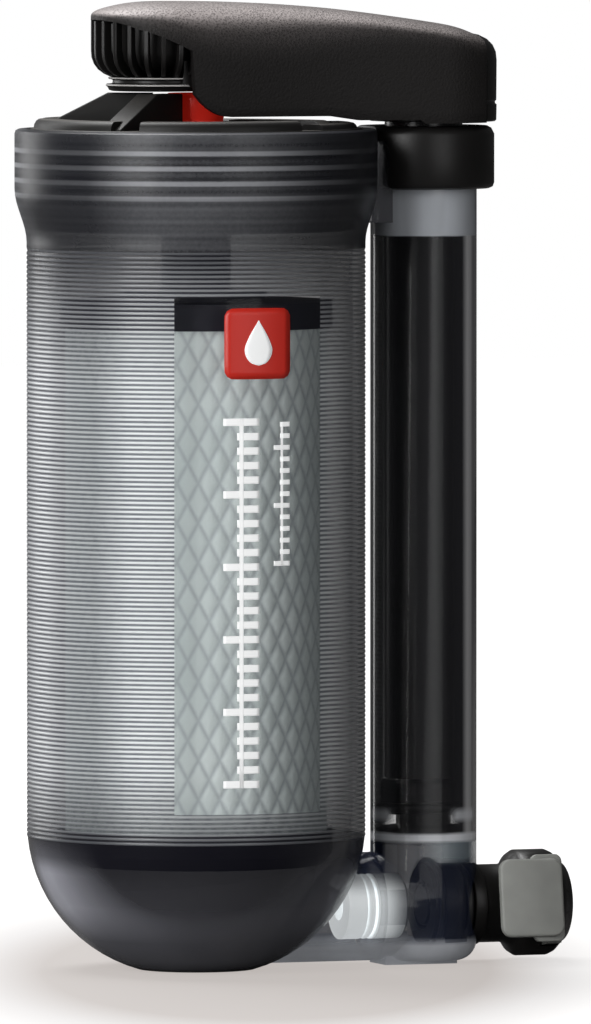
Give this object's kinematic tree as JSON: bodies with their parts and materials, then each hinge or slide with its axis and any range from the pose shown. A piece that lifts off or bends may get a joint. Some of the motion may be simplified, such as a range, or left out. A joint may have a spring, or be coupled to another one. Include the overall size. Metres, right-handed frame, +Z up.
{
  "type": "hand-pumped water filter",
  "caption": "Hand-pumped water microfilter: smoke-clear bowl with a cartridge and cap, a slim pump cylinder beside it, a swinging pump handle and a push-latch inlet coupling.",
  "frame": {"origin": "centre of the bowl's flat foot, on the ground", "axes": "+Z up along the bowl and the pump, +X from the bowl to the pump, -Y is the labelled front"},
  "size_m": [0.0971, 0.0618, 0.1646],
  "materials": {
    "smoke_clear": "clear gloss",
    "black_plastic": "satin",
    "soft_grip": "fine grain",
    "red_plastic": "gloss",
    "grey_plastic": "satin",
    "pale_plastic": "satin",
    "cartridge_plastic": "satin",
    "filter_media": "paper",
    "netting": "woven",
    "seal_rubber": "smooth",
    "spring_steel": "drawn wire"
  },
  "bodies": {
    "housing": {"bowl": "smoke_clear", "pump_cylinder": "smoke_clear", "cylinder_bracket": "smoke_clear", "transfer_seal": "seal_rubber", "filter_cap": "black_plastic", "cap_seal": "seal_rubber", "outlet_socket": "black_plastic", "outlet_seal": "seal_rubber", "outlet_spring": "spring_steel", "cartridge_top_cap": "cartridge_plastic", "cartridge_media": "filter_media", "cartridge_core": "pale_plastic", "cartridge_bottom_cap": "cartridge_plastic", "cartridge_netting": "netting", "cartridge_seal": "seal_rubber", "rod_bush": "pale_plastic", "rod_wiper": "seal_rubber", "pump_collar": "black_plastic", "inlet_valve_seat": "black_plastic", "inlet_valve_seal": "seal_rubber", "inlet_valve_spring": "spring_steel", "outlet_valve_cage": "pale_plastic", "outlet_valve_spring": "spring_steel", "outlet_valve_retainer": "pale_plastic", "coupling_body": "black_plastic", "coupling_seal": "seal_rubber", "coupling_lip_seal": "seal_rubber", "latch_spring": "spring_steel"},
    "outlet_release_collar": {"outlet_collar": "red_plastic"},
    "latch": {"latch_plate": "grey_plastic"},
    "inlet_poppet": {"inlet_valve_poppet": "pale_plastic"},
    "outlet_poppet": {"outlet_valve_poppet": "pale_plastic"},
    "piston": {"piston_head": "black_plastic", "piston_seal": "seal_rubber", "piston_clip": "spring_steel"},
    "plunger": {"pump_rod": "black_plastic", "rod_end_plug": "black_plastic", "handle_core": "black_plastic", "handle_cover": "soft_grip", "handle_pin": "spring_steel"}
  },
  "joints": [
    {"name": "pump_stroke", "type": "slide", "parent": "housing", "child": "piston", "axis": [0, 0, 1], "range_m": [0, 0.09]},
    {"name": "handle_swivel", "type": "hinge", "parent": "piston", "child": "plunger", "pos_m": [0.0413, 0, 0.15], "axis": [0, 0, 1], "range_deg": [0, 300]},
    {"name": "outlet_release", "type": "slide", "parent": "housing", "child": "outlet_release_collar", "axis": [0, 0, -1], "range_m": [0, 0.0015], "stiffness_N_per_m": 400, "springref_m": -0.001, "deforming": ["outlet_spring"]},
    {"name": "latch_press", "type": "slide", "parent": "housing", "child": "latch", "axis": [0, 0.9903, -0.1392], "range_m": [0, 0.0016], "stiffness_N_per_m": 500, "springref_m": -0.001, "deforming": ["latch_spring"]},
    {"name": "inlet_check", "type": "slide", "parent": "housing", "child": "inlet_poppet", "axis": [-1, 0, 0], "range_m": [0, 0.001], "stiffness_N_per_m": 60, "springref_m": -0.001, "deforming": ["inlet_valve_spring"]},
    {"name": "outlet_check", "type": "slide", "parent": "housing", "child": "outlet_poppet", "axis": [-1, 0, 0], "range_m": [0, 0.001], "stiffness_N_per_m": 60, "springref_m": -0.001, "deforming": ["outlet_valve_spring"]}
  ]
}
